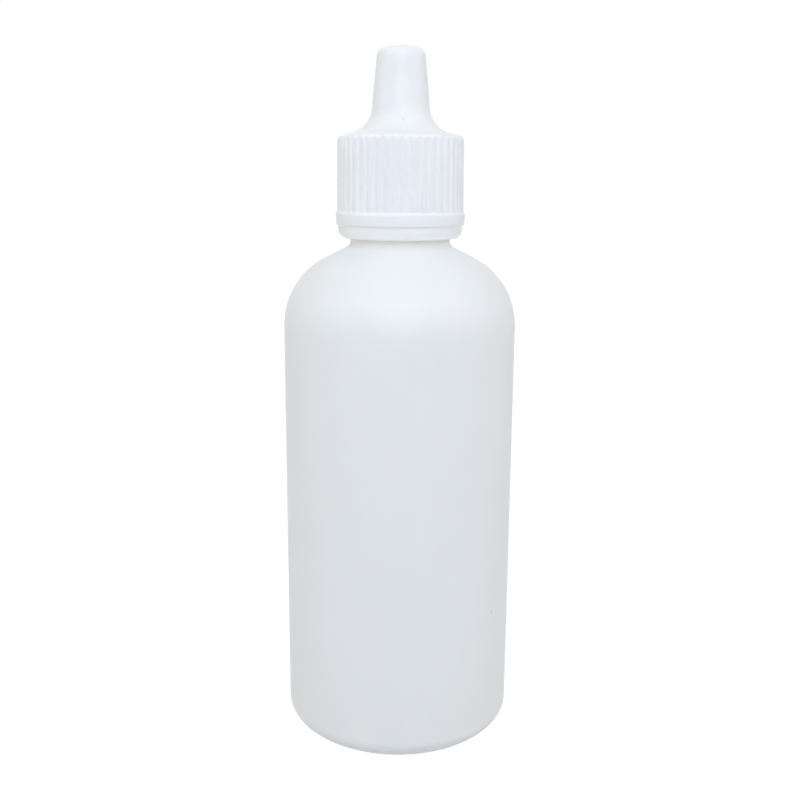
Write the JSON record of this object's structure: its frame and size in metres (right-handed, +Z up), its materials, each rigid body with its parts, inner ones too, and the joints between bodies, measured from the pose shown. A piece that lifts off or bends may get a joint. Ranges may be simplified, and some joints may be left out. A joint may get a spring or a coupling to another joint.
{
  "type": "eye drop bottle",
  "caption": "Round squeeze bottle with a domed shoulder, press-in dropper nozzle, ribbed screw cap with a tall tip cover, and a tamper-evident ring",
  "frame": {"origin": "centre of the foot, on the surface that the bottle stands on", "axes": "+Z up along the bottle's axis; -Y is the side that the picture shows"},
  "size_m": [0.0426, 0.0426, 0.1267],
  "materials": {
    "bottle_ldpe": "translucent milky natural polyethylene, satin",
    "insert_ldpe": "natural polyethylene, satin",
    "cap_pp": "white polypropylene, soft gloss"
  },
  "bodies": {
    "bottle": {"bottle": "bottle_ldpe", "dropper_insert": "insert_ldpe"},
    "tamper_ring": {"tamper_ring": "cap_pp", "tear_bridges": "cap_pp"},
    "cap": {"cap": "cap_pp"}
  },
  "joints": [
    {"name": "cap_turn", "type": "hinge", "parent": "bottle", "child": "tamper_ring", "pos_m": [0, 0, 0.0947], "axis": [0, 0, 1], "range_deg": [0, 540]},
    {"name": "cap_rise", "type": "slide", "parent": "tamper_ring", "child": "cap", "axis": [0, 0, 1], "range_m": [0, 0.0045]}
  ],
  "couplings": [
    {"joint": "cap_rise", "follows": "cap_turn", "m_per_rad": 0.00047746}
  ]
}
